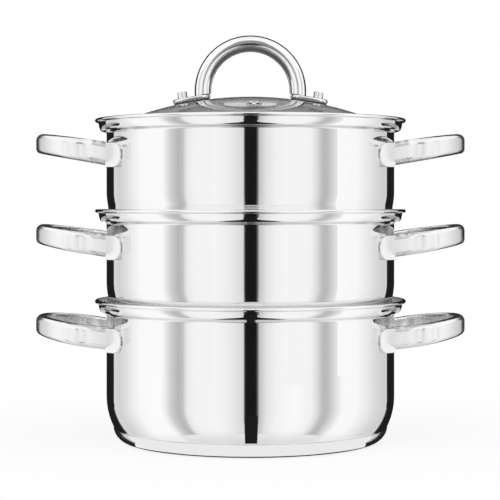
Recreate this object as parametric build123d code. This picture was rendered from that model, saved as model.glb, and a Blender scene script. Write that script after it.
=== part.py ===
from build123d import *
from math import acos, asin, cos, degrees, radians, sin, sqrt
import os

# Three tier steamer pot: a base pot with an encapsulated base, two steamer tiers that stack in
# its rim, and a domed glass lid. Millimetres, +Z up, the origin on the table under the middle of
# the base, the side handles along X and the front towards -Y.

# Sheet and rim, the same on the pot and on both tiers
wall = 0.8
body_radius = 120.8
shoulder_bend = 2.3
ledge_run = 1.2
collar_bend = 2.0
collar_bend_angle = 64
collar_curve = 13.5
collar_curve_angle = 26
lip_reach = 3.0
lip_height = 2.8
lip_root = 0.4
lip_mouth = 1.0

# Heights of the stack
pot_height = 119.0
tier_pitch = 75.5

# Base pot and its encapsulated base
core_thickness = 5.7
cap_wall = 0.6
cap_bend = 14.0
seam_height = 11.8
seam_gap = 0.15
base_bend = 10.5
wall_bend = 55.3
wall_bend_top = 38.0
core_edge = 3.5

# Steamer tier: necked bottom, stacking bead and steam holes
neck_clearance = 0.6
neck_depth = 12.0
tray_bend = 5.0
taper_bend = 60.0
taper_root = 20.0
bead_clearance = 1.0
bead_nose = 1.3
bead_root = 0.6
steam_hole = 3.0
steam_pitch = 18.0
steam_rings = 5

# Side handles, measured out from the wall and down from the lip
handle_root_depth = 2.8
handle_thickness = 8.0
handle_tip_drop = 19.9
handle_tip_height = 16.4
handle_root_drop = 29.45
handle_root_height = 18.5
handle_front_bend = 69.0
handle_front_angle = 50
handle_corner_bend = 26.0
handle_corner_angle = 66.6
handle_arm = 10.07
handle_sink = 11.93
handle_top_land = 0.6
handle_bottom_round = 4.0
handle_inner_round = 2.0
pad_height = 19.8
pad_drop = 31.2
pad_thickness = 1.3
pad_run = 11.4
pad_corner = 9.0
pad_edge = 0.7
pad_sink = 3.0
weld_gap = 0.1

# Glass lid and its rim band
glass_seat = 2.65
glass_radius = 287.0
glass_thickness = 4.0
glass_inset = 1.5
glass_edge_round = 1.2
band_sheet = 0.6
band_gap = 0.1
band_grip = 5.0
band_clearance = 0.5
band_flange = 1.6

# Steam vent
vent_reach = 72.0
vent_azimuth = -87.7
vent_hole = 4.0
vent_flange = 12.6
vent_flange_thickness = 1.2
vent_foot = 17.0
vent_foot_thickness = 1.0
vent_neck = 7.6
vent_fit = 0.2
vent_seat = 0.05

# Lid handle, its feet and fasteners
arch_span = 94.0
arch_tube = 14.0
arch_rise = 52.19
foot_shift = 9.0
foot_length = 32.0
foot_width = 16.0
foot_thickness = 3.8
foot_edge = 0.8
foot_gasket = 0.8
gasket_seat = 0.03
screw_shift = 7.0
screw_head = 8.0
screw_head_height = 5.3
screw_head_edge = 0.6
screw_socket = 4.6
screw_socket_depth = 2.6
screw_shank = 5.0
screw_fit = 0.15
glass_hole = 7.0
inner_gasket = 12.0
inner_gasket_thickness = 1.6
washer = 11.0
washer_thickness = 1.0
nut_width = 9.2
nut_height = 4.2
nut_dome = 3.6
nut_tip = 0.8
nut_thread_gap = 0.05
thread_end_gap = 0.8

# Lengths that follow from the sizes above
ledge_end = body_radius + shoulder_bend + ledge_run
collar_foot = ledge_end + collar_bend * sin(radians(collar_bend_angle))
collar_radius = collar_foot + collar_curve * (1 - cos(radians(collar_curve_angle)))
collar_height = collar_bend * (1 - cos(radians(collar_bend_angle)))
collar_height += collar_curve * sin(radians(collar_curve_angle))
lip_radius = collar_radius + lip_reach
lip_tops = [pot_height + tier * tier_pitch for tier in range(3)]
rim_depth = lip_height + lip_root + collar_height + shoulder_bend
ledge_depth = rim_depth - shoulder_bend - wall
mouth_radius = body_radius - wall
neck_radius = mouth_radius - neck_clearance
pot_bottom = cap_wall + core_thickness
lid_ledge = lip_tops[-1] - ledge_depth
glass_edge_radius = mouth_radius - glass_inset
glass_centre = lid_ledge + glass_seat - sqrt(glass_radius**2 - glass_edge_radius**2)
glass_top = glass_centre + glass_radius
foot_reach = (arch_span - arch_tube) / 2 + foot_shift
screw_reach = foot_reach + screw_shift
handle_top_round = handle_thickness - handle_inner_round - handle_top_land
handle_turn = radians(handle_front_angle + handle_corner_angle)
handle_front_cos = cos(radians(handle_front_angle))
handle_root_reach = body_radius - handle_root_depth
handle_corner_reach = handle_root_reach + handle_arm * sin(handle_turn)
handle_front_reach = handle_corner_reach + handle_corner_bend * (handle_front_cos - cos(handle_turn))
handle_reach = handle_front_reach + handle_front_bend * (1 - handle_front_cos)
overrun = 2 * handle_reach


def trace(start, heading, steps, inset=0):
    """Straight runs and tangent bends, kept at an inset to the left of the way they run.

    A step is (length, 0) for a straight run and (radius, turn) for a bend.
    """
    heading = Vector(*heading)
    here = Vector(*start) + Vector(-heading.Y, heading.X) * inset
    edges = []
    for size, turn in steps:
        if turn:
            edge = JernArc(here, heading, size - inset if turn > 0 else size + inset, turn)
        else:
            edge = Line(here, here + heading * size)
        here, heading = edge @ 1, edge % 1
        edges.append(edge)
    return edges, here


def spun(edges):
    """A ring or bowl from the edges of its half section."""
    return revolve(Plane.XZ * make_face(edges), Axis.Z)


def rim_steps():
    """The stepped rim above a straight wall: shoulder, ledge and flared collar."""
    steps = [(shoulder_bend, -90), (ledge_run, 0), (collar_bend, collar_bend_angle)]
    return steps + [(collar_curve, collar_curve_angle)]


def lip_steps():
    """The rolled lip, from the outside of the collar round to its inside."""
    nose = lip_height / 2
    outward = lip_radius - nose - collar_radius - lip_root
    inward = lip_radius - nose - (collar_radius - wall) - lip_mouth
    return [(lip_root, -90), (outward, 0), (nose, 180), (inward, 0), (lip_mouth, 90)]


def pressed_vessel(bottom, steps):
    """A vessel of one sheet, from the middle of its bottom up to its rolled lip."""
    outer, outer_end = trace((0, bottom), (1, 0), steps)
    inner, inner_end = trace((0, bottom), (1, 0), steps, wall)
    lip, lip_end = trace((outer_end.X, outer_end.Y), (0, 1), lip_steps())
    closing = [Line(lip_end, inner_end), Line((0, bottom), (0, bottom + wall))]
    return spun(outer + inner + lip + closing)


def pot_wall_radius(height):
    """Outer radius of the pot on its curved lower wall."""
    return body_radius - wall_bend + sqrt(wall_bend**2 - (wall_bend_top - height)**2)


def pot_body():
    """Base pot: flat bottom, small base bend, long curve up to the straight wall, rim."""
    base_turn = acos((wall_bend_top - pot_bottom - base_bend) / (wall_bend - base_bend))
    flat = body_radius - wall_bend * (1 - sin(base_turn)) - base_bend * sin(base_turn)
    turn = degrees(base_turn)
    steps = [(flat, 0), (base_bend, turn), (wall_bend, 90 - turn)]
    steps += [(pot_height - rim_depth - wall_bend_top, 0)]
    return pressed_vessel(pot_bottom, steps + rim_steps())


def cap_flat():
    """Radius of the cap's flat underside, which puts its edge just outside the wall."""
    edge_turn = acos(1 - seam_height / cap_bend)
    edge = pot_wall_radius(seam_height) + seam_gap + cap_wall
    return edge - cap_bend * sin(edge_turn)


def base_cap():
    """Steel cap pressed over the core, with its edge turned up against the wall."""
    steps = [(cap_flat(), 0), (cap_bend, degrees(acos(1 - seam_height / cap_bend)))]
    outer, outer_end = trace((0, 0), (1, 0), steps)
    inner, inner_end = trace((0, 0), (1, 0), steps, cap_wall)
    return spun(outer + inner + [Line(outer_end, inner_end), Line((0, 0), (0, cap_wall))])


def base_core_disc():
    """Aluminium disc between the cap and the pot, which spreads the heat."""
    radius = cap_flat() + core_edge
    disc = Pos(0, 0, cap_wall) * extrude(Circle(radius), core_thickness)
    return fillet(disc.edges().sort_by(Axis.Z)[0], core_edge)


def steamer_body(lower_lip, lip_top):
    """Tier: perforated tray, neck in the mouth below, stacking bead on its ledge, wall, rim."""
    ledge = lower_lip - ledge_depth
    bottom = ledge - neck_depth
    taper = acos(1 - (body_radius - neck_radius) / (taper_bend + taper_root))
    bead_run = ledge_end - bead_clearance - neck_radius - bead_root
    bead_top = ledge + 2 * bead_nose + bead_root
    taper_top = lower_lip + (taper_root + taper_bend) * sin(taper)
    turn = degrees(taper)
    steps = [(neck_radius - tray_bend, 0), (tray_bend, 90)]
    steps += [(neck_depth - tray_bend - bead_root, 0), (bead_root, -90), (bead_run, 0)]
    steps += [(bead_nose, 180), (bead_run, 0), (bead_root, -90)]
    steps += [(lower_lip - bead_top, 0)]
    steps += [(taper_root, -turn), (taper_bend, turn)]
    steps += [(lip_top - rim_depth - taper_top, 0)]
    tier = pressed_vessel(bottom, steps + rim_steps())
    punch = Pos(0, 0, bottom) * extrude(Circle(steam_hole), 2 * wall, both=True)
    punches = [punch]
    for ring in range(1, steam_rings + 1):
        count = 6 * ring
        for hole in range(count):
            place = Rot(0, 0, 360 * hole / count) * Pos(ring * steam_pitch, 0, 0)
            punches.append(place * punch)
    return tier - punches


def closed_plan(half, end):
    """A face from one half of a plan, its mirror image and the line that joins their ends."""
    other = [edge.mirror(Plane.XZ) for edge in half]
    return make_face(half + other + [Line(end, (end.X, -end.Y))])


def handle_profile():
    """Side view of a handle: it rises and narrows from the wall to its tip."""
    span = handle_reach - handle_root_reach
    top_tip = handle_tip_height / 2 - handle_tip_drop
    top_root = handle_root_height / 2 - handle_root_drop
    low_tip = -handle_tip_height / 2 - handle_tip_drop
    low_root = -handle_root_height / 2 - handle_root_drop
    inner, outer = handle_root_reach - span, handle_reach + span
    top_rise, low_rise = top_tip - top_root, low_tip - low_root
    corners = [(inner, top_root - top_rise), (outer, top_tip + top_rise)]
    corners += [(outer, low_tip + low_rise), (inner, low_root - low_rise)]
    side = Plane.XZ * make_face(Polyline(*corners, close=True))
    return extrude(side, overrun / 2, both=True)


def flat_faces(block):
    """Flat faces, the lowest first."""
    return block.faces().filter_by(GeomType.PLANE).sort_by(Axis.Z)


def handle_route(inset=0):
    """Half the plan of a handle: wide front bend, corner, arm that runs on through the wall."""
    steps = [(handle_front_bend, handle_front_angle), (handle_corner_bend, handle_corner_angle)]
    return trace((handle_reach, 0), (0, 1), steps + [(handle_arm + handle_sink, 0)], inset)


def handle_loop():
    """The grip: an outer block with rounded edges, less the finger space inside it."""
    outer, outer_end = handle_route()
    inner, inner_end = handle_route(handle_thickness)
    block = extrude(closed_plan(outer, outer_end), overrun, both=True) & handle_profile()
    keep = handle_root_reach - handle_thickness / 2
    for side, round_radius in ((0, handle_bottom_round), (-1, handle_top_round)):
        face = flat_faces(block)[side]
        block = fillet(face.edges().filter_by(lambda edge: (edge @ 0.5).X > keep), round_radius)
    block -= extrude(closed_plan(inner, inner_end), overrun, both=True)
    faces = flat_faces(block)
    rounds = faces[0].inner_wires()[0].edges() + faces[-1].inner_wires()[0].edges()
    return fillet(rounds, handle_inner_round)


def handle_pad(crease):
    """The foot of one arm: a wedge along the wall, from the crease to a rounded end."""
    face_radius = body_radius + weld_gap + pad_thickness
    end = Vector(sqrt(face_radius**2 - (crease.Y + pad_run)**2), crease.Y + pad_run)
    back = end * ((body_radius - pad_sink) / face_radius)
    corners = [end, crease, crease - Vector(pad_sink, 2 * pad_sink), back]
    plan = Pos(0, 0, -pad_drop - pad_height / 2) * make_face(Polyline(*corners, close=True))
    pad = extrude(plan, pad_height)
    end_face = pad.faces().sort_by(lambda face: (face.center() - crease).dot(end - crease))[-1]
    corner_edges = end_face.edges().sort_by(Axis.Z)
    pad = fillet([corner_edges[0], corner_edges[-1]], pad_corner)
    slope = (end - crease).normalized()
    outward = Vector(-slope.Y, slope.X)
    show = pad.faces().sort_by(lambda face: abs(face.normal_at().dot(outward)))[-1]
    rounded = show.edges().filter_by(lambda edge: ((edge @ 0.5) - crease).dot(slope) > pad_edge)
    return fillet(rounded, pad_edge)


def side_handle():
    """One loop handle on the +X side, its heights measured from the lip."""
    edges, _ = handle_route(pad_edge)
    corner, way = edges[-1] @ 0, edges[-1] % 0
    crease = corner + way * ((corner.X - handle_root_reach) / -way.X)
    pad = handle_pad(Vector(crease.X, crease.Y))
    handle = handle_loop() + pad + pad.mirror(Plane.XZ)
    return handle - extrude(Circle(body_radius + weld_gap), overrun, both=True)


def lid_glass(places):
    """Domed glass with a rounded edge, a vent hole and two screw holes."""
    turn = degrees(asin(glass_edge_radius / glass_radius))
    outer, outer_end = trace((0, glass_top), (1, 0), [(glass_radius, -turn)])
    inner, inner_end = trace((0, glass_top), (1, 0), [(glass_radius, -turn)], -glass_thickness)
    ends = [Line(outer_end, inner_end), Line((0, glass_top), (0, glass_top - glass_thickness))]
    dome = spun(outer + inner + ends)
    dome = fillet(dome.edges().filter_by(GeomType.CIRCLE), glass_edge_round)
    depth = 2 * glass_thickness
    dome -= vent_place() * extrude(Circle(vent_neck / 2 + vent_fit), depth, both=True)
    for place in places:
        hole = extrude(Circle(glass_hole / 2), depth, both=True)
        dome -= place * screw_offset() * hole
    return dome


def dome_point(shell, radius):
    """A point of the half section on a sphere about the dome's centre."""
    return (radius, glass_centre + sqrt(shell**2 - radius**2))


def lid_rim_band():
    """Steel channel crimped on the glass edge, with the rolled flange that sits on the ledge."""
    top, bottom = glass_radius + band_gap, glass_radius - glass_thickness - band_gap
    slot, edge = glass_edge_radius + band_gap, glass_edge_radius + band_gap + band_sheet
    grip = glass_edge_radius - band_grip
    over, under = top + band_sheet, bottom - band_sheet
    points = [dome_point(over, grip), dome_point(over, edge), dome_point(under, edge)]
    points += [dome_point(under, grip), dome_point(bottom, grip), dome_point(bottom, slot)]
    points += [dome_point(top, slot), dome_point(top, grip)]
    channel = spun(Polyline(*points, close=True).edges())
    nose = band_flange / 2
    inner = edge - band_sheet / 2
    run = ledge_end - band_clearance - inner
    steps = [(run, 0), (nose, 180), (run, 0)]
    flange, end = trace((inner, lid_ledge), (1, 0), steps)
    return channel + spun(flange + [Line(end, (inner, lid_ledge))])


def dome_place(reach, azimuth):
    """A place on the dome: its own Z is the glass's normal, its X points down the slope."""
    lean = asin(reach / glass_radius)
    turn = radians(azimuth)
    outward = Vector(cos(turn), sin(turn), 0)
    normal = outward * sin(lean) + Vector(0, 0, cos(lean))
    origin = Vector(0, 0, glass_centre) + normal * glass_radius
    down = outward * cos(lean) - Vector(0, 0, sin(lean))
    return Plane(origin=origin, x_dir=down, z_dir=normal).location


def vent_place():
    return dome_place(vent_reach, vent_azimuth)


def screw_offset():
    """From the middle of a foot to its screw."""
    return Pos((screw_reach - foot_reach) / cos(asin(foot_reach / glass_radius)), 0, 0)


def lid_vent_grommet():
    """Steel eyelet through the glass: small flange above, wider foot below."""
    neck, hole, sag = vent_neck / 2, vent_hole / 2, (vent_foot / 2)**2 / glass_radius
    under = -glass_thickness - sag - vent_seat
    points = [(hole, under - vent_foot_thickness), (vent_foot / 2, under - vent_foot_thickness)]
    points += [(vent_foot / 2, under), (neck, under), (neck, vent_seat), (vent_flange / 2, vent_seat)]
    points += [(vent_flange / 2, vent_flange_thickness / 2), (neck, vent_flange_thickness)]
    points += [(hole, vent_flange_thickness)]
    return vent_place() * spun(Polyline(*points, close=True).edges())


def lid_handle_arch(places):
    """Round tube bent in an arch, its legs cut to stand on the two feet."""
    radius = (arch_span - arch_tube) / 2
    rise = glass_top + arch_rise - arch_span / 2
    low = glass_top - arch_tube
    route, _ = trace((-radius, low), (0, 1), [(rise - low, 0), (radius, -180), (rise - low, 0)])
    path = Plane.XZ * Wire(route)
    section = Plane(origin=path @ 0, z_dir=path % 0) * Circle(arch_tube / 2)
    arch = sweep(section, path)
    top = foot_gasket + foot_thickness + weld_gap / 2
    for place in places:
        block = Rectangle(foot_length + arch_tube, 2 * foot_width)
        arch -= place * Pos(0, 0, top) * extrude(block, -2 * arch_tube)
    return arch


def foot_outline(inset=0):
    """Plan of a foot, straight sides with round ends."""
    return SlotOverall(foot_length - 2 * inset, foot_width - 2 * inset)


def lid_handle_foot():
    """Flat plate under one leg, which the screw clamps to the glass."""
    plate = Pos(0, 0, foot_gasket) * extrude(foot_outline(), foot_thickness)
    plate = fillet(plate.faces().sort_by(Axis.Z)[-1].edges(), foot_edge)
    hole = extrude(Circle(screw_shank / 2 + screw_fit), overrun, both=True)
    return plate - screw_offset() * hole


def lid_foot_gasket():
    """Silicone pad between a foot and the glass, hollowed to fit the dome."""
    pad = extrude(foot_outline(foot_edge), foot_gasket)
    pad += extrude(foot_outline(foot_edge), -foot_gasket)
    hole = extrude(Circle(screw_shank / 2 + screw_fit), overrun, both=True)
    dome = Pos(0, 0, -glass_radius) * Sphere(glass_radius + gasket_seat)
    return pad - screw_offset() * hole - dome


def below_glass():
    """Height of the washer's upper face under the glass, from the top of the glass."""
    return -glass_thickness - inner_gasket_thickness


def ring(outside, inside, thickness):
    return extrude(Circle(outside / 2) - Circle(inside / 2), thickness)


def lid_inner_gasket():
    """Silicone washer under the glass, its upper face domed to fit."""
    hole = screw_shank + 2 * screw_fit
    washer_ring = ring(inner_gasket, hole, inner_gasket_thickness + foot_gasket)
    seat = screw_offset().inverse() * Pos(0, 0, -glass_radius)
    sphere = seat * Sphere(glass_radius - glass_thickness - gasket_seat)
    return Pos(0, 0, below_glass()) * washer_ring & sphere


def lid_washer():
    hole = screw_shank + 2 * screw_fit
    return Pos(0, 0, below_glass() - washer_thickness) * ring(washer, hole, washer_thickness)


def lid_screw():
    """Barrel headed screw with a hexagon socket, down to near the end of its cap nut."""
    seat = foot_gasket + foot_thickness
    head = Pos(0, 0, seat) * extrude(Circle(screw_head / 2), screw_head_height)
    head = fillet(head.edges().sort_by(Axis.Z)[-1], screw_head_edge)
    socket = extrude(RegularPolygon(screw_socket / 2, 6), -screw_socket_depth)
    head -= Pos(0, 0, seat + screw_head_height) * socket
    end = below_glass() - washer_thickness - nut_height + thread_end_gap
    return head + Pos(0, 0, end) * extrude(Circle(screw_shank / 2), seat - end)


def lid_cap_nut():
    """Hexagon nut with a domed end, screwed up under the washer."""
    top = below_glass() - washer_thickness
    nut = extrude(RegularPolygon(nut_width / 2, 6, major_radius=False), -nut_height)
    dome = extrude(Circle(nut_dome), -nut_height - nut_dome)
    nut += fillet(dome.edges().sort_by(Axis.Z)[0], nut_dome - nut_tip)
    nut -= extrude(Circle(screw_shank / 2 + nut_thread_gap), -nut_height)
    return Pos(0, 0, top) * nut


def build_all():
    """Every piece by its name."""
    pieces = {"pot_body": pot_body()}
    pieces["base_core_disc"] = base_core_disc()
    pieces["base_cap"] = base_cap()
    pieces["lower_steamer_body"] = steamer_body(lip_tops[0], lip_tops[1])
    pieces["upper_steamer_body"] = steamer_body(lip_tops[1], lip_tops[2])
    handle = side_handle()
    for vessel, lip_top in zip(["pot", "lower_steamer", "upper_steamer"], lip_tops):
        pieces[f"{vessel}_handle_right"] = Pos(0, 0, lip_top) * handle
        pieces[f"{vessel}_handle_left"] = Pos(0, 0, lip_top) * handle.mirror(Plane.YZ)
    places = {"right": dome_place(foot_reach, 0), "left": dome_place(foot_reach, 180)}
    pieces["lid_glass"] = lid_glass(places.values())
    pieces["lid_rim_band"] = lid_rim_band()
    pieces["lid_vent_grommet"] = lid_vent_grommet()
    pieces["lid_handle_arch"] = lid_handle_arch(places.values())
    for side, place in places.items():
        pieces[f"lid_handle_foot_{side}"] = place * lid_handle_foot()
        pieces[f"lid_foot_gasket_{side}"] = place * lid_foot_gasket()
        screw_place = place * screw_offset()
        pieces[f"lid_screw_{side}"] = screw_place * lid_screw()
        pieces[f"lid_inner_gasket_{side}"] = screw_place * lid_inner_gasket()
        pieces[f"lid_washer_{side}"] = screw_place * lid_washer()
        pieces[f"lid_cap_nut_{side}"] = screw_place * lid_cap_nut()
    return pieces


os.makedirs("parts", exist_ok=True)
for name, piece in build_all().items():
    export_step(piece, f"parts/{name}.step")
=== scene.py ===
"""Three tier steamer pot: looks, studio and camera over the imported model."""
import math

import bpy
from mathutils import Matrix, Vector
from mathutils.geometry import delaunay_2d_cdt


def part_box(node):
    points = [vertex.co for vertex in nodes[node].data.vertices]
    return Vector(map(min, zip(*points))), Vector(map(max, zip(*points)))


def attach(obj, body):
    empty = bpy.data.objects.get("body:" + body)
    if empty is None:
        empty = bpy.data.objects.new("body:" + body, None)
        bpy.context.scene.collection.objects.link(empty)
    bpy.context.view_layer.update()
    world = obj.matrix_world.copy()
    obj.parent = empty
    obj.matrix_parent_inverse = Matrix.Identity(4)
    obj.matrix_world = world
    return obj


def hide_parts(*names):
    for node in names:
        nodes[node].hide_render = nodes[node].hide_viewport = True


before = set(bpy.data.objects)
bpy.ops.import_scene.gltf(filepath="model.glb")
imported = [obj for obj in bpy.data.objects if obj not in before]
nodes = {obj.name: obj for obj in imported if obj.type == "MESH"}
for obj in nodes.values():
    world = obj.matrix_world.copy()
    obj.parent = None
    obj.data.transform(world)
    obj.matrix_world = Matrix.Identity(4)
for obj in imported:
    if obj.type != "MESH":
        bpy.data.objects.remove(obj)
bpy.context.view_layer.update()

# The pressed sheet's section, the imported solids' own sizes in millimetres
WALL = 0.8
BODY = 120.8
SHOULDER = 2.3
LEDGE = 1.2
COLLAR_BEND, COLLAR_BEND_ANGLE = 2.0, 64
COLLAR_CURVE, COLLAR_CURVE_ANGLE = 13.5, 26
LIP_REACH, LIP_HEIGHT, LIP_ROOT, LIP_MOUTH = 3.0, 2.8, 0.4, 1.0
POT_HEIGHT, TIER_PITCH, POT_BOTTOM = 119.0, 75.5, 6.3
BASE_BEND, WALL_BEND, WALL_BEND_TOP = 10.5, 55.3, 38.0
NECK_RADIUS, NECK_DEPTH, TRAY_BEND = 119.4, 12.0, 5.0
TAPER_BEND, TAPER_ROOT = 60.0, 20.0
BEAD_CLEARANCE, BEAD_NOSE, BEAD_ROOT = 1.0, 1.3, 0.6
STEAM_HOLE, STEAM_PITCH, STEAM_RINGS = 3.0, 18.0, 5
STEAM_HOLES_PER_RING = 6
MILLIMETRES_PER_METRE = 1000

# Feet of the lid's handle, in metres, and the slope of the dome under them in degrees
FOOT_LENGTH, FOOT_WIDTH, FOOT_THICKNESS = 0.032, 0.016, 0.0038
FOOT_LEAN = 9.83

# How finely the round forms are divided, and the shortest side of a face in millimetres
SHELL_TURNS, HOLE_TURNS, TUBE_TURNS, FOOT_TURNS = 240, 24, 40, 48
ARCH_RINGS, FOOT_LEVELS = 64, 12
BEND_STEP, FEWEST_BEND_STEPS = 6.0, 3
SHORTEST_SIDE = 1e-6
KEPT_DECIMALS = 8

# Where the polish of the sheet gives way to satin: within the wall's thickness, in metres from the axis,
# and where the surface leans inward or lies level (1 faces away from the axis, -1 faces the axis)
LINING_RADIUS, LINING_BLEND = 0.1203, 0.0002
INWARD_LEAN, LEVEL_LEAN = (-0.1, -0.3), (0.35, 0.2)
RIM_DULLNESS = 0.35

# Most of a noise's values lie in this range
NOISE_RANGE = (0.3, 0.7)

# The photograph's view: level with the middle of the stack, square to its front
CAMERA_DISTANCE = 1.458
CAMERA_HEIGHT = 0.2006
CAMERA_LENS, CAMERA_SENSOR = 124.56, 36.0
CAMERA_SHIFT = (-0.0008, -0.096)

# Greys of the studio: its brightest part, its flags, its ceiling and the light that falls on dull surfaces
BRIGHTEST, FLAG, CEILING, AMBIENT = 1.12, 0.014, 0.85, 0.8
WHITE = (1.0, 1.0, 1.0, 1.0)

# What the steel mirrors round the pot, as (turn in degrees from the front, grey)
LEFT_BOXES = [(-141.5, FLAG), (-138.5, 0.78), (-128, 0.72), (-116, 0.84), (-104, 1.0), (-97, 1.09),
              (-75, 1.12), (-70, 0.98), (-65, 0.72), (-58, 0.54), (-54, 0.6), (-51, 0.93),
              (-45, 1.03), (-28, 1.06), (-16, 0.97), (-7, 0.82)]
RIGHT_BOXES = [(8, 0.66), (12, 0.88), (20, 1.02), (35, 1.09), (48, 1.02), (53, 0.84), (58, 0.57),
               (62, 0.56), (71, 0.88), (77, 1.1), (92, 1.08), (106, 0.93), (120, 0.77), (132, 0.7),
               (138.5, 0.72), (141.5, FLAG)]
STRIP_SIDES = [(-5.2, 1), (-4.2, 0), (5.4, 0), (6.6, 1)]
GAP_SIDES = [(-15, 1), (-9, 0), (9, 0), (15, 1)]

# What it mirrors from floor to ceiling, as (sine of the elevation, grey)
STRIP_RISE = [(-0.46, 1), (-0.4, FLAG), (0.055, FLAG), (0.09, 1)]
GAP_RISE = [(0.1, 1), (0.16, 0.33), (0.64, 0.33), (0.74, 1)]
BACK_RISE = [(-0.7, 0.9), (-0.62, 0.0), (0.33, 0.0), (0.39, 0.3), (0.43, 1.0)]
FLOOR_RISE = [(-0.9, 0.75), (-0.6, 1)]
CEILING_RISE = [(0.93, 0), (0.98, 1)]

# Corners of a level square that faces up
SQUARE = [(-1, -1), (1, -1), (1, 1), (-1, 1)]

# The floor: its half width, its paint, and where its shadow fades into plain white
FLOOR_HALF, FLOOR_PAINT = 4.0, (0.93, 0.93, 0.93, 1.0)
SHADOW_FADE, SHADOW_GLOW = (0.14, 0.5), (0.8, 1.0)

# Dark card on the floor, as (across, distance in front of the axis), which continues the dark strip
STRIP_CARD = [(-0.0045, 0.1156), (-0.0178, 0.28), (0.0228, 0.28), (0.0057, 0.1156)]
STRIP_CARD_HEIGHT = 0.001

# Cards in front of the rims, as (distance in front of the axis, half width). Seen from the camera they lie
# nearly edge on: they slope like the line of sight down to where it ends in front of the axis, plus a tilt
COLLAR_CARD = [(0.150, 0.052), (0.159, 0.0445), (0.172, 0.0357), (0.188, 0.018), (0.204, 0.0126),
               (0.32, 0.0235)]
RIM_CARD = [(0.155, 0.033), (0.34, 0.1)]
COLLAR_CARD_DROP, RIM_CARD_RISE = 0.0575, 0.011
CARD_TILT, CARD_PIVOT, SIGHT_END = 0.04, 0.155, 0.09

# White cards round the base cap as (radius, height), and the dark ring under it, painted shade that the cap
# mirrors in place of the shadowed floor under its foot
CAP_CARD = [(0.1075, 0.0008), (0.1154, 0.0008), (0.1154, 0.0115)]
CAP_CARD_GREY, CAP_CARD_HALF_TURN, CAP_CARD_STEP = 0.95, 60, 2
SHADE_RING_RADII, SHADE_RING_HEIGHT, SHADE_RING_TURNS = (0.098, 0.1068), 0.0004, 72

# Standing cards as (name, grey, one end, other end, (foot, top)) of the right side, mirrored to the left
STANDING_CARDS = [
    ("white_{}_card", 1.04, (0.102, -0.25), (0.162, -0.25), (0.04, 0.30)),
    ("white_{}_wing_card", 1.1, (0.296, -0.174), (0.327, -0.128), (0.04, 0.30)),
    ("dark_{}_back_card", FLAG, (0.132, 0.1), (0.24, 0.1), (0.0, 0.5)),
    ("dark_{}_lid_card", FLAG, (0.025, 0.02), (0.118, 0.02), (0.28, 0.325)),
]

# Dark hoop behind the lid's handle, and the grey card between its feet
HOOP_RADII, HOOP_PLACE, HOOP_HEIGHT, HOOP_STEP = (0.05, 0.1), 0.02, 0.301, 6
INNER_CARD_GREY, INNER_CARD_HALVES, INNER_CARD_LIFT = 0.1, (0.034, 0.03), 0.0008

# Soft lamps as (name, place, power)
LAMPS = [("key_soft_box", (-0.9, -1.1, 1.6), 9.0), ("fill_soft_box", (1.2, -0.7, 1.3), 6.0)]
LAMP_SIZE, LAMP_AIM = 1.2, (0.0, 0.0, 0.15)

# The nodes that share a finish
VESSELS = ["pot", "lower_steamer", "upper_steamer"]
SIDES = ["left", "right"]
HANDLES = [f"{vessel}_handle_{side}" for vessel in VESSELS for side in SIDES]
FASTENERS = [f"lid_{kind}_{side}" for kind in ("screw", "washer", "cap_nut") for side in SIDES]
GASKETS = [f"lid_{kind}_gasket_{side}" for kind in ("foot", "inner") for side in SIDES]


def add(tree, kind, inputs=None, **settings):
    """A new node, with its settings and with values or links on its inputs."""
    node = tree.nodes.new(kind)
    for key, value in settings.items():
        setattr(node, key, value)
    for key, value in (inputs or {}).items():
        if isinstance(value, bpy.types.NodeSocket):
            tree.links.new(value, node.inputs[key])
        else:
            node.inputs[key].default_value = value
    return node


def maths(tree, operation, first, second=0.0):
    """One sum of two values or links."""
    return add(tree, "ShaderNodeMath", {0: first, 1: second}, operation=operation).outputs[0]


def span(tree, value, start, end, low, high, smooth=False):
    """A value mapped from start..end to low..high, and held there outside."""
    inputs = {"Value": value, "From Min": start, "From Max": end, "To Min": low, "To Max": high}
    kind = "SMOOTHSTEP" if smooth else "LINEAR"
    return add(tree, "ShaderNodeMapRange", inputs, interpolation_type=kind).outputs["Result"]


def spread(tree, value, low, high):
    """A noise mapped to low..high."""
    return span(tree, value, *NOISE_RANGE, low, high)


def ramp(tree, value, stops):
    """A grey ramp through the given (place, grey) stops."""
    node = add(tree, "ShaderNodeValToRGB", {"Fac": value})
    elements = node.color_ramp.elements
    while len(elements) < len(stops):
        elements.new(0.5)
    for element, (place, grey) in zip(elements, stops):
        element.position = place
        element.color = (grey, grey, grey, 1.0)
    return node.outputs["Color"]


def noise(tree, vector, scale, detail=2.0, rough=0.5):
    """Noise from 0 to 1."""
    inputs = {"Vector": vector, "Scale": scale, "Detail": detail, "Roughness": rough}
    return add(tree, "ShaderNodeTexNoise", inputs).outputs["Fac"]


def scaled(tree, vector, factors):
    """A vector with each axis times its own factor."""
    inputs = {0: vector, 1: factors}
    return add(tree, "ShaderNodeVectorMath", inputs, operation="MULTIPLY").outputs["Vector"]


def length(tree, vector):
    """How long a vector is."""
    return add(tree, "ShaderNodeVectorMath", {0: vector}, operation="LENGTH").outputs["Value"]


def blend(tree, factor, first, second):
    """A value between two others."""
    return add(tree, "ShaderNodeMix", {0: factor, 2: first, 3: second}).outputs[0]


def tint(tree, factor, first, second):
    """A colour between two others."""
    node = add(tree, "ShaderNodeMix", {0: factor}, data_type="RGBA")
    node.inputs[6].default_value = (*first, 1.0)
    node.inputs[7].default_value = (*second, 1.0)
    return node.outputs[2]


def outward(tree, place):
    """A place without its height, which points away from the pot's axis."""
    return scaled(tree, place, (1.0, 1.0, 0.0))


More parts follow.
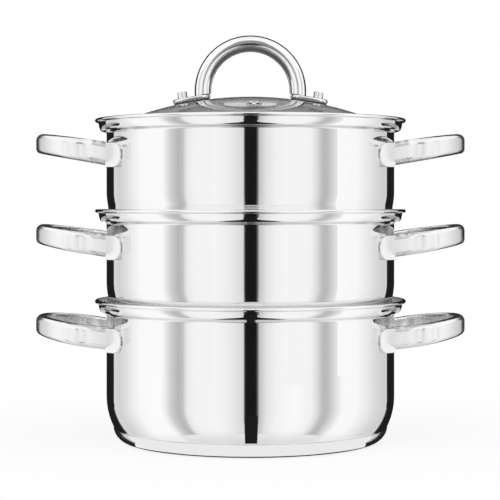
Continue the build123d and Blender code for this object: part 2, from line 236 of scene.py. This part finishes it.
def around(tree, place):
    """Place as (turn round the pot's axis, radius, height) for marks of spinning, and the radius alone."""
    parts = add(tree, "ShaderNodeSeparateXYZ", {"Vector": place}).outputs
    radius = length(tree, outward(tree, place))
    turn = maths(tree, "ARCTAN2", parts["Y"], parts["X"])
    inputs = {"X": turn, "Y": radius, "Z": parts["Z"]}
    return add(tree, "ShaderNodeCombineXYZ", inputs).outputs["Vector"], radius


def bump(tree, height, distance, strength):
    """A bump from a height of 0 to 1 times distance."""
    inputs = {"Height": height, "Distance": distance, "Strength": strength}
    return add(tree, "ShaderNodeBump", inputs).outputs["Normal"]


def start(name):
    """A new material with its tree, its shader and the object's own coordinates."""
    material = bpy.data.materials.new(name)
    material.use_nodes = True
    tree = material.node_tree
    shader = tree.nodes["Principled BSDF"]
    place = add(tree, "ShaderNodeTexCoord").outputs["Object"]
    return material, tree, shader, place


def bare(material):
    """The empty tree of a new material or world."""
    material.use_nodes = True
    material.node_tree.nodes.clear()
    return material.node_tree


def plug(tree, shader, **links):
    """Sets or links the shader's inputs, named with _ for a space."""
    for key, value in links.items():
        socket = shader.inputs[key.replace("_", " ")]
        if isinstance(value, bpy.types.NodeSocket):
            tree.links.new(value, socket)
        else:
            socket.default_value = value


def finish(tree, shader, mark, colours, roughness, relief, metallic=1.0):
    """Colour, roughness and relief (its depth and strength) that all follow one noise."""
    plug(tree, shader, Base_Color=tint(tree, mark, *colours), Metallic=metallic)
    plug(tree, shader, Roughness=spread(tree, mark, *roughness), Normal=bump(tree, mark, *relief))


def vessel_steel():
    """Mirror polished sheet outside, satin inside, with faint rings left by spinning."""
    material, tree, shader, place = start("vessel_steel_polished")
    rings, radius = around(tree, place)
    facing = add(tree, "ShaderNodeNewGeometry").outputs["Normal"]
    away = add(tree, "ShaderNodeVectorMath", {0: outward(tree, place)}, operation="NORMALIZE")
    inputs = {0: facing, 1: away.outputs["Vector"]}
    lean = add(tree, "ShaderNodeVectorMath", inputs, operation="DOT_PRODUCT").outputs["Value"]
    inward = span(tree, lean, *INWARD_LEAN, 0.0, 1.0)
    level = span(tree, lean, *LEVEL_LEAN, 0.0, 1.0)
    within = span(tree, radius, LINING_RADIUS + LINING_BLEND, LINING_RADIUS, 0.0, 1.0)
    inside = maths(tree, "MAXIMUM", inward, maths(tree, "MULTIPLY", level, within))
    beyond = span(tree, radius, LINING_RADIUS, LINING_RADIUS + LINING_BLEND, 0.0, RIM_DULLNESS)
    cloud = noise(tree, place, scale=22.0, detail=3.0)
    fine = noise(tree, scaled(tree, rings, (2.0, 2600.0, 2600.0)), scale=1.0, detail=3.0)
    polish = spread(tree, cloud, 0.03, 0.05)
    satin = spread(tree, fine, 0.22, 0.32)
    rough = blend(tree, inside, polish, satin)
    marks = bump(tree, fine, distance=0.00002, strength=0.05)
    plug(tree, shader, Base_Color=tint(tree, cloud, (0.85, 0.85, 0.855), (0.88, 0.88, 0.885)))
    metal = maths(tree, "SUBTRACT", 1.0, maths(tree, "MULTIPLY", inside, beyond))
    plug(tree, shader, Metallic=metal, Roughness=rough, Normal=marks)
    return material


def handle_steel():
    """Polished tube and pressings, a little wavier than the sheet."""
    material, tree, shader, place = start("handle_steel_polished")
    cloud = noise(tree, place, scale=60.0, detail=3.0)
    wear = noise(tree, place, scale=420.0)
    waves = bump(tree, cloud, distance=0.0006, strength=0.2)
    polish = spread(tree, cloud, 0.17, 0.25)
    rough = maths(tree, "ADD", polish, spread(tree, wear, -0.02, 0.02))
    plug(tree, shader, Base_Color=tint(tree, cloud, (0.80, 0.80, 0.81), (0.88, 0.88, 0.885)))
    plug(tree, shader, Metallic=1.0, Roughness=rough, Normal=waves)
    return material


def arch_steel():
    """Mirror polished tube of the lid's handle."""
    material, tree, shader, place = start("arch_steel_polished")
    cloud = noise(tree, place, scale=70.0, detail=3.0)
    colours = (0.86, 0.86, 0.865), (0.9, 0.9, 0.905)
    finish(tree, shader, cloud, colours, roughness=(0.09, 0.14), relief=(0.0003, 0.2))
    return material


def base_steel():
    """Polished turned cap of the base, with fine rings."""
    material, tree, shader, place = start("base_steel_satin")
    rings, _ = around(tree, place)
    fine = noise(tree, scaled(tree, rings, (1.0, 3200.0, 3200.0)), scale=1.0, detail=4.0)
    colours = (0.84, 0.84, 0.845), (0.88, 0.88, 0.885)
    finish(tree, shader, fine, colours, roughness=(0.11, 0.17), relief=(0.00002, 0.06))
    return material


def lid_steel(name, roughness):
    """Bright turned steel of the band, eyelet, screws, nuts and washers, with its range of roughness."""
    material, tree, shader, place = start(name)
    rings, _ = around(tree, place)
    fine = noise(tree, scaled(tree, rings, (3.0, 3000.0, 3000.0)), scale=1.0, detail=3.0)
    colours = (0.83, 0.83, 0.84), (0.88, 0.88, 0.885)
    finish(tree, shader, fine, colours, roughness, relief=(0.00002, 0.12))
    return material


def core_aluminium():
    """Rolled aluminium of the core disc, grained one way."""
    material, tree, shader, place = start("core_aluminium_rolled")
    grain = noise(tree, scaled(tree, place, (60.0, 3000.0, 300.0)), scale=1.0, detail=3.0)
    colours = (0.68, 0.69, 0.70), (0.78, 0.785, 0.79)
    finish(tree, shader, grain, colours, roughness=(0.35, 0.5), relief=(0.00003, 0.2))
    return material


def clear_glass():
    """Tempered glass with a grey cast and the slightest smudges."""
    material, tree, shader, place = start("lid_glass_clear")
    smudge = noise(tree, place, scale=35.0, detail=4.0, rough=0.6)
    plug(tree, shader, Base_Color=tint(tree, smudge, (0.58, 0.59, 0.59), (0.66, 0.67, 0.67)))
    plug(tree, shader, Metallic=0.0, IOR=1.5, Transmission_Weight=1.0)
    plug(tree, shader, Roughness=span(tree, smudge, 0.55, 0.8, 0.0, 0.03))
    return material


def dark_silicone():
    """Dark moulded silicone with a fine matt grain."""
    material, tree, shader, place = start("silicone_moulded")
    grain = noise(tree, place, scale=1800.0, detail=3.0)
    colours = (0.035, 0.035, 0.037), (0.06, 0.06, 0.063)
    finish(tree, shader, grain, colours, roughness=(0.45, 0.62), relief=(0.00004, 0.3), metallic=0.0)
    return material


def paint(names, material):
    """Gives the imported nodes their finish."""
    for name in names:
        data = nodes[name].data
        data.materials.clear()
        data.materials.append(material)
        data.update()


def placed(name, mesh):
    """A new object of the scene."""
    piece = bpy.data.objects.new(name, mesh)
    bpy.context.scene.collection.objects.link(piece)
    return piece


def stand_in(name, body, node, material, shape):
    """A smooth piece of (corners, faces, normals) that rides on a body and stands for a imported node."""
    spots, faces, normals = shape
    mesh = bpy.data.meshes.new(name)
    mesh.from_pydata(spots, [], faces)
    mesh.polygons.foreach_set("use_smooth", [True] * len(faces))
    mesh.normals_split_custom_set(normals)
    mesh.materials.append(material)
    piece = placed(name, mesh)
    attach(piece, body)
    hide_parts(node)


def route(origin, heading, steps, inset=0.0):
    """Points (radius, height, heading) along straight runs and tangent bends."""
    across, up = origin[0] - math.sin(heading) * inset, origin[1] + math.cos(heading) * inset
    points = []
    for size, degrees in steps:
        if degrees:
            side = math.copysign(size, degrees) - inset
            middle = (across - math.sin(heading) * side, up + math.cos(heading) * side)
            count = max(FEWEST_BEND_STEPS, math.ceil(abs(degrees) / BEND_STEP))
            for step in range(count + 1):
                angle = heading + math.radians(degrees) * step / count
                across, up = middle[0] + math.sin(angle) * side, middle[1] - math.cos(angle) * side
                points.append((across, up, angle))
            heading = angle
        else:
            points.append((across, up, heading))
            across, up = across + math.cos(heading) * size, up + math.sin(heading) * size
            points.append((across, up, heading))
    return points, (across, up)


def rim_steps():
    """Shoulder, ledge and flared collar above a straight wall."""
    collar = [(COLLAR_BEND, COLLAR_BEND_ANGLE), (COLLAR_CURVE, COLLAR_CURVE_ANGLE)]
    return [(SHOULDER, -90), (LEDGE, 0)] + collar


def rim_height():
    """From the end of the wall to the collar's end."""
    height = SHOULDER + COLLAR_BEND * (1 - math.cos(math.radians(COLLAR_BEND_ANGLE)))
    return height + COLLAR_CURVE * math.sin(math.radians(COLLAR_CURVE_ANGLE))


def shell_section(bottom, steps):
    """Section (radius, height, outward normal) of a vessel, from its flat bottom's edge round its lip."""
    outer, outer_end = route((0.0, bottom), 0.0, steps + rim_steps())
    inner, inner_end = route((0.0, bottom), 0.0, steps + rim_steps(), WALL)
    nose = LIP_HEIGHT / 2
    lip_steps = [(LIP_ROOT, -90), (LIP_REACH - nose - LIP_ROOT, 0), (nose, 180)]
    lip_steps += [(LIP_REACH - nose + WALL - LIP_MOUTH, 0), (LIP_MOUTH, 90)]
    lip, lip_end = route(outer_end, math.pi / 2, lip_steps)
    section = [(r, z, math.sin(h), -math.cos(h)) for r, z, h in outer[1:] + lip]
    section += [(*lip_end, -1.0, 0.0), (*inner_end, -1.0, 0.0)]
    return section + [(r, z, -math.sin(h), math.cos(h)) for r, z, h in inner[:0:-1]]


def pot_section():
    """The base pot: small base bend, long curve up to its straight wall."""
    turn = math.acos((WALL_BEND_TOP - POT_BOTTOM - BASE_BEND) / (WALL_BEND - BASE_BEND))
    flat = BODY - WALL_BEND * (1 - math.sin(turn)) - BASE_BEND * math.sin(turn)
    degrees = math.degrees(turn)
    steps = [(flat, 0), (BASE_BEND, degrees), (WALL_BEND, 90 - degrees)]
    run = POT_HEIGHT - LIP_HEIGHT - LIP_ROOT - rim_height() - WALL_BEND_TOP
    return shell_section(POT_BOTTOM, steps + [(run, 0)])


def tier_section(tier):
    """A tier: neck, stacking bead, wall that widens softly above the lip below."""
    lower = POT_HEIGHT + TIER_PITCH * (tier - 1)
    ledge = lower - LIP_HEIGHT - LIP_ROOT - rim_height() + SHOULDER + WALL
    taper = math.acos(1 - (BODY - NECK_RADIUS) / (TAPER_BEND + TAPER_ROOT))
    degrees = math.degrees(taper)
    bead = BODY + SHOULDER + LEDGE - BEAD_CLEARANCE - NECK_RADIUS - BEAD_ROOT
    steps = [(NECK_RADIUS - TRAY_BEND, 0), (TRAY_BEND, 90), (NECK_DEPTH - TRAY_BEND - BEAD_ROOT, 0)]
    steps += [(BEAD_ROOT, -90), (bead, 0), (BEAD_NOSE, 180), (bead, 0), (BEAD_ROOT, -90)]
    steps += [(lower - ledge - 2 * BEAD_NOSE - BEAD_ROOT, 0)]
    steps += [(TAPER_ROOT, -degrees), (TAPER_BEND, degrees)]
    top = lower + TIER_PITCH - LIP_HEIGHT - LIP_ROOT - rim_height()
    steps += [(top - lower - (TAPER_ROOT + TAPER_BEND) * math.sin(taper), 0)]
    return shell_section(ledge - NECK_DEPTH, steps)


def circle(radius, count, middle=(0.0, 0.0)):
    """Points evenly round a circle."""
    turns = [2 * math.pi * step / count for step in range(count)]
    return [(middle[0] + radius * math.cos(a), middle[1] + radius * math.sin(a)) for a in turns]


def plate(radius, holes):
    """Triangles of a round plate, with its holes left open."""
    loops = [circle(radius, SHELL_TURNS)] + [circle(STEAM_HOLE, HOLE_TURNS, hole) for hole in holes]
    points, edges = [], []
    for loop in loops:
        first = len(points)
        points += [Vector(point) for point in loop]
        edges += [(first + k, first + (k + 1) % len(loop)) for k in range(len(loop))]
    spots, _, found, *_ = delaunay_2d_cdt(points, edges, [], 1, SHORTEST_SIDE)
    triangles = []
    for face in found:
        corners = [(spots[k].x, spots[k].y) for k in face]
        middle = [sum(values) / len(corners) for values in zip(*corners)]
        if all(math.dist(middle, hole) > STEAM_HOLE for hole in holes):
            triangles.append(corners)
    return triangles


def shell(name, body, node, section, material, holes=()):
    """A vessel spun from its section, with its flat bottom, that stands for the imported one."""
    spots, faces, normals = {}, [], []

    def face(corners, directions):
        metres = [[value / MILLIMETRES_PER_METRE for value in corner] for corner in corners]
        keys = [tuple(round(value, KEPT_DECIMALS) for value in corner) for corner in metres]
        faces.append([spots.setdefault(key, len(spots)) for key in keys])
        normals.extend(directions)

    unit = circle(1.0, SHELL_TURNS)
    pairs = list(zip(unit, unit[1:] + unit[:1]))
    for (r, z, out, rise), (r1, z1, out1, rise1) in zip(section, section[1:]):
        if math.dist((r, z), (r1, z1)) > SHORTEST_SIDE:
            for (c, s), (c1, s1) in pairs:
                low_side = [(r * c, r * s, z), (r * c1, r * s1, z)]
                high_side = [(r1 * c1, r1 * s1, z1), (r1 * c, r1 * s, z1)]
                directions = [(out * c, out * s, rise), (out * c1, out * s1, rise)]
                directions += [(out1 * c1, out1 * s1, rise1), (out1 * c, out1 * s, rise1)]
                face(low_side + high_side, directions)
    flat, low, high = section[0][0], section[0][1], section[-1][1]
    for corners in plate(flat, holes):
        face([(x, y, high) for x, y in corners], [(0.0, 0.0, 1.0)] * len(corners))
        face([(x, y, low) for x, y in corners[::-1]], [(0.0, 0.0, -1.0)] * len(corners))
    for middle in holes:
        loop = circle(STEAM_HOLE, HOLE_TURNS, middle)
        for first, second in zip(loop, loop[1:] + loop[:1]):
            inward = [((middle[0] - x) / STEAM_HOLE, (middle[1] - y) / STEAM_HOLE, 0.0)
                      for x, y in (second, first)]
            face([(*second, low), (*first, low), (*first, high), (*second, high)], inward + inward[::-1])
    stand_in(name, body, node, material, (list(spots), faces, normals))


def arch(material):
    """The lid's handle: a tube in a half circle on two legs, cut to stand on their sloping feet."""
    low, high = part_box("lid_handle_arch")
    tube, bend = high[1], high[0] - high[1]
    middle = high[2] - high[0]
    lean = math.tan(math.radians(FOOT_LEAN))
    turns = [math.pi * (1 - step / ARCH_RINGS) for step in range(ARCH_RINGS + 1)]
    rings = [(bend * math.cos(a), middle + bend * math.sin(a), a) for a in turns]
    rings = [(-bend, None, math.pi), *rings, (bend, None, 0.0)]
    spots, normals = [], []
    for across, up, angle in rings:
        for out, side in circle(1.0, TUBE_TURNS):
            x = across + tube * out * math.cos(angle)
            z = low[2] + (high[0] - abs(x)) * lean if up is None else up + tube * out * math.sin(angle)
            spots.append((x, tube * side, z))
            normals.append((out * math.cos(angle), side, out * math.sin(angle)))
    faces = []
    for first_ring in range(0, len(spots) - TUBE_TURNS, TUBE_TURNS):
        for step in range(TUBE_TURNS):
            first, second = first_ring + step, first_ring + (step + 1) % TUBE_TURNS
            faces.append((first, first + TUBE_TURNS, second + TUBE_TURNS, second))
    directions = [normals[spot] for face in faces for spot in face]
    faces.append(tuple(range(TUBE_TURNS)))
    faces.append(tuple(range(len(spots) - TUBE_TURNS, len(spots)))[::-1])
    directions += [(-lean, 0.0, -1.0)] * TUBE_TURNS + [(lean, 0.0, -1.0)] * TUBE_TURNS
    shape = (spots, faces, directions)
    stand_in("lid_arch_tube", "lid", "lid_handle_arch", material, shape)


def foot_plate(side, sign, material):
    """One foot of the lid's handle: a thick plate with round ends and fully rounded edges."""
    low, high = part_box(f"lid_handle_foot_{side}")
    lean = math.radians(FOOT_LEAN)
    middle = ((low[0] + high[0]) / 2, (low[2] + high[2]) / 2)
    end = FOOT_LENGTH / 2 - FOOT_WIDTH / 2
    turns = [2 * math.pi * (step + 0.5) / FOOT_TURNS for step in range(FOOT_TURNS)]
    outline = [(math.copysign(end, math.cos(turn)), math.cos(turn), math.sin(turn)) for turn in turns]
    spots, normals = [], []
    for level in range(FOOT_LEVELS + 1):
        tip = math.radians(-90 + 180 * level / FOOT_LEVELS)
        reach = FOOT_WIDTH / 2 - FOOT_THICKNESS / 2 * (1 - math.cos(tip))
        for shift, out, aside in outline:
            x, up = shift + out * reach, FOOT_THICKNESS / 2 * math.sin(tip)
            across = x * math.cos(lean) * sign + up * math.sin(lean) * sign
            rise = up * math.cos(lean) - x * math.sin(lean)
            spots.append((middle[0] + across, aside * reach, middle[1] + rise))
            flat, lift = out * math.cos(tip), math.sin(tip)
            normals.append((sign * (flat * math.cos(lean) + lift * math.sin(lean)),
                            aside * math.cos(tip), lift * math.cos(lean) - flat * math.sin(lean)))
    faces = []
    top_level = FOOT_LEVELS * FOOT_TURNS
    for first_spot in range(0, top_level, FOOT_TURNS):
        for step in range(FOOT_TURNS):
            first, second = first_spot + step, first_spot + (step + 1) % FOOT_TURNS
            faces.append((first, second, second + FOOT_TURNS, first + FOOT_TURNS)[::sign])
    faces.append(tuple(range(FOOT_TURNS))[::-sign])
    faces.append(tuple(range(top_level, top_level + FOOT_TURNS))[::sign])
    shape = (spots, faces, [normals[spot] for face in faces for spot in face])
    name, node = f"lid_foot_plate_{side}", f"lid_handle_foot_{side}"
    stand_in(name, "lid", node, material, shape)


def turned(stops):
    """Stops by the turn in degrees, for a ramp that runs once round from the back."""
    return [((degrees + 180) / 360, grey) for degrees, grey in stops]


def lifted(stops):
    """Stops by the sine of the elevation, for a ramp that runs from straight down to straight up."""
    return [(place * 0.5 + 0.5, grey) for place, grey in stops]


def mirrored_room(tree):
    """Soft boxes with grey gaps, a dark strip in front and a dark back, as a grey by direction."""
    way = add(tree, "ShaderNodeTexCoord").outputs["Generated"]
    parts = add(tree, "ShaderNodeSeparateXYZ", {"Vector": way}).outputs
    turn = maths(tree, "ARCTAN2", parts["X"], maths(tree, "MULTIPLY", parts["Y"], -1.0))
    place = span(tree, turn, -math.pi, math.pi, 0.0, 1.0)
    height = span(tree, parts["Z"], -1.0, 1.0, 0.0, 1.0)
    stops = [(degrees, grey / BRIGHTEST) for degrees, grey in LEFT_BOXES + RIGHT_BOXES]
    boxes = ramp(tree, place, turned(stops))
    strip = ramp(tree, place, turned(STRIP_SIDES))
    strip = maths(tree, "MAXIMUM", strip, ramp(tree, height, lifted(STRIP_RISE)))
    gap = ramp(tree, place, turned(GAP_SIDES))
    gap = maths(tree, "MAXIMUM", gap, ramp(tree, height, lifted(GAP_RISE)))
    opened = maths(tree, "MULTIPLY", strip, gap)
    walls = maths(tree, "MAXIMUM", boxes, ramp(tree, height, lifted(BACK_RISE)))
    shade = maths(tree, "MULTIPLY", opened, ramp(tree, height, lifted(FLOOR_RISE)))
    lit = maths(tree, "MULTIPLY", walls, shade)
    return blend(tree, ramp(tree, height, lifted(CEILING_RISE)), lit, CEILING)


def studio_world():
    """White studio: the camera sees plain white, the steel mirrors the room, the rest gets even light."""
    world = bpy.data.worlds.new("studio")
    bpy.context.scene.world = world
    tree = bare(world)
    path = add(tree, "ShaderNodeLightPath").outputs
    seen = add(tree, "ShaderNodeBackground", {"Color": WHITE, "Strength": 1.0})
    room = {"Color": mirrored_room(tree), "Strength": BRIGHTEST}
    mirrored = add(tree, "ShaderNodeBackground", room)
    ambient = add(tree, "ShaderNodeBackground", {"Color": WHITE, "Strength": AMBIENT})
    inputs = {0: path["Is Glossy Ray"], 1: ambient.outputs[0], 2: mirrored.outputs[0]}
    unseen = add(tree, "ShaderNodeMixShader", inputs)
    plain = maths(tree, "MAXIMUM", path["Is Camera Ray"], path["Is Transmission Ray"])
    surface = add(tree, "ShaderNodeMixShader", {0: plain, 1: unseen.outputs[0], 2: seen.outputs[0]})
    add(tree, "ShaderNodeOutputWorld", {"Surface": surface.outputs[0]})


def pale_floor():
    """White sweep under the pot, which keeps its soft shadow."""
    mesh = bpy.data.meshes.new("studio_floor")
    corners = [(x * FLOOR_HALF, y * FLOOR_HALF, 0.0) for x, y in SQUARE]
    mesh.from_pydata(corners, [], [tuple(range(len(corners)))])
    floor = placed("studio_floor", mesh)
    material = bpy.data.materials.new("studio_floor_white")
    tree = bare(material)
    path = add(tree, "ShaderNodeLightPath").outputs
    coat = add(tree, "ShaderNodeBsdfDiffuse", {"Color": FLOOR_PAINT})
    glow = add(tree, "ShaderNodeEmission", {"Color": WHITE, "Strength": 1.0})
    reach = length(tree, add(tree, "ShaderNodeNewGeometry").outputs["Position"])
    fade = span(tree, reach, *SHADOW_FADE, *SHADOW_GLOW, smooth=True)
    lift = maths(tree, "MULTIPLY", path["Is Camera Ray"], fade)
    mixed = add(tree, "ShaderNodeMixShader", {0: lift, 1: coat.outputs[0], 2: glow.outputs[0]})
    add(tree, "ShaderNodeOutputMaterial", {"Surface": mixed.outputs[0]})
    mesh.materials.append(material)
    floor.visible_glossy = False


def card(name, grey, corners, faces=None):
    """A card of the studio that only the steel mirrors, from its front alone."""
    mesh = bpy.data.meshes.new(name)
    mesh.from_pydata(corners, [], faces or [tuple(range(len(corners)))])
    piece = placed(name, mesh)
    material = bpy.data.materials.new(name)
    tree = bare(material)
    glow = add(tree, "ShaderNodeEmission", {"Color": (grey, grey, grey, 1.0), "Strength": 1.0})
    clear = add(tree, "ShaderNodeBsdfTransparent")
    back = add(tree, "ShaderNodeNewGeometry").outputs["Backfacing"]
    sides = add(tree, "ShaderNodeMixShader", {0: back, 1: glow.outputs[0], 2: clear.outputs[0]})
    add(tree, "ShaderNodeOutputMaterial", {"Surface": sides.outputs[0]})
    mesh.materials.append(material)
    for rays in ("camera", "diffuse", "transmission", "volume_scatter", "shadow"):
        setattr(piece, f"visible_{rays}", False)


def sloping_card(name, grey, level, tilt, side, outline):
    """A card in front of a rim, whose edge starts on the given side and is mirrored to the other."""
    slope = (CAMERA_HEIGHT - level) / (CAMERA_DISTANCE - SIGHT_END) + tilt
    edge = [(side * half, -out, level - slope * (out - CARD_PIVOT)) for out, half in outline]
    card(name, grey, edge + [(-x, y, z) for x, y, z in edge[::-1]])


def rim_cards():
    """Dark cards below every rim, mirrored by its collar, and white ones over the two lower rims."""
    levels = [(POT_HEIGHT + tier * TIER_PITCH) / MILLIMETRES_PER_METRE for tier in range(len(VESSELS))]
    for tier, level in enumerate(levels):
        name = f"dark_collar_card_{tier}"
        sloping_card(name, FLAG, level - COLLAR_CARD_DROP, CARD_TILT, -1, COLLAR_CARD)
    for tier, level in enumerate(levels[:-1]):
        sloping_card(f"white_rim_card_{tier}", 1.0, level + RIM_CARD_RISE, -CARD_TILT, 1, RIM_CARD)


def base_cards():
    """White cards that the cap mirrors in front and behind, and the dark ring round its foot, painted shade
    that stands for the shadowed floor under it.
    """
    for name, facing in (("front", -math.pi / 2), ("back", math.pi / 2)):
        angles = range(-CAP_CARD_HALF_TURN, CAP_CARD_HALF_TURN + 1, CAP_CARD_STEP)
        turns = [facing + math.radians(angle) for angle in angles]
        ring = [(r * math.cos(turn), r * math.sin(turn), z) for turn in turns for r, z in CAP_CARD]
        width = len(CAP_CARD)
        starts = [k for k in range(len(ring) - width) if k % width < width - 1]
        faces = [(k, k + 1, k + 1 + width, k + width) for k in starts]
        card(f"white_{name}_card", CAP_CARD_GREY, ring, faces)
    # The dark ring is painted shade: a near-black card under the foot, which the cap mirrors as a dark line
    # where the floor lies in its shadow
    count = SHADE_RING_TURNS
    ring = [(x, y, SHADE_RING_HEIGHT) for radius in SHADE_RING_RADII for x, y in circle(radius, count)]
    faces = [(k, k + count, (k + 1) % count + count, (k + 1) % count) for k in range(count)]
    card("painted_shade_foot_card", FLAG, ring, faces)


def standing_cards():
    """White cards beside the handles and dark ones behind them and behind the lid."""
    for side in (-1, 1):
        for name, grey, first, second, (low, high) in STANDING_CARDS:
            ends = [(first[0] * side, first[1]), (second[0] * side, second[1])]
            if ends[0][0] * ends[1][1] > ends[0][1] * ends[1][0]:
                ends.reverse()
            corners = [(*ends[0], low), (*ends[1], low), (*ends[1], high), (*ends[0], high)]
            card(name.format("right" if side > 0 else "left"), grey, corners)


def lid_cards():
    """A dark hoop behind the lid's handle and a grey card between its feet."""
    angles = [math.radians(angle) for angle in range(0, 181, HOOP_STEP)]
    hoop = [(r * math.cos(a), HOOP_PLACE, HOOP_HEIGHT + r * math.sin(a))
            for a in angles for r in HOOP_RADII]
    card("dark_hoop_card", FLAG, hoop, [(k, k + 1, k + 3, k + 2) for k in range(0, len(hoop) - 2, 2)])
    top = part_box("lid_glass")[1][2] + INNER_CARD_LIFT
    wide, deep = INNER_CARD_HALVES
    card("grey_inner_card", INNER_CARD_GREY, [(x * wide, y * deep, top) for x, y in SQUARE])


def soft_lamp(name, place, power):
    """A large soft box aimed at the middle of the pot, not itself mirrored in the steel."""
    data = bpy.data.lights.new(name, "AREA")
    data.shape = "SQUARE"
    data.size = LAMP_SIZE
    data.energy = power
    lamp = placed(name, data)
    lamp.location = place
    aim = Vector(LAMP_AIM) - Vector(place)
    lamp.rotation_euler = aim.to_track_quat("-Z", "Y").to_euler()
    lamp.visible_glossy = False


def front_camera():
    """The camera of the photograph's view."""
    data = bpy.data.cameras.new("front_camera")
    data.lens = CAMERA_LENS
    data.sensor_width = CAMERA_SENSOR
    data.shift_x, data.shift_y = CAMERA_SHIFT
    camera = placed("front_camera", data)
    camera.location = (0.0, -CAMERA_DISTANCE, CAMERA_HEIGHT)
    camera.rotation_euler = (math.pi / 2, 0.0, 0.0)
    bpy.context.scene.camera = camera


sheet = vessel_steel()
hole_rings = [circle(ring * STEAM_PITCH, STEAM_HOLES_PER_RING * ring) for ring in range(1, STEAM_RINGS + 1)]
steam_holes = [(0.0, 0.0)] + [hole for ring in hole_rings for hole in ring]
shell("pot_shell", "pot", "pot_body", pot_section(), sheet)
for tier, body in enumerate(VESSELS[1:], 1):
    shell(f"{body}_shell", body, f"{body}_body", tier_section(tier), sheet, steam_holes)
paint(HANDLES, handle_steel())
arch_metal = arch_steel()
arch(arch_metal)
foot_plate("right", 1, arch_metal)
foot_plate("left", -1, arch_metal)
paint(["base_cap"], base_steel())
paint(["lid_rim_band", "lid_vent_grommet"], lid_steel("lid_steel_bright", (0.06, 0.12)))
paint(FASTENERS, lid_steel("lid_steel_turned", (0.2, 0.3)))
paint(["base_core_disc"], core_aluminium())
paint(["lid_glass"], clear_glass())
paint(GASKETS, dark_silicone())

studio_world()
pale_floor()
card("dark_floor_card", FLAG, [(x, -out, STRIP_CARD_HEIGHT) for x, out in STRIP_CARD])
rim_cards()
base_cards()
standing_cards()
lid_cards()
for lamp in LAMPS:
    soft_lamp(*lamp)
front_camera()
bpy.context.scene.view_settings.view_transform = "Standard"
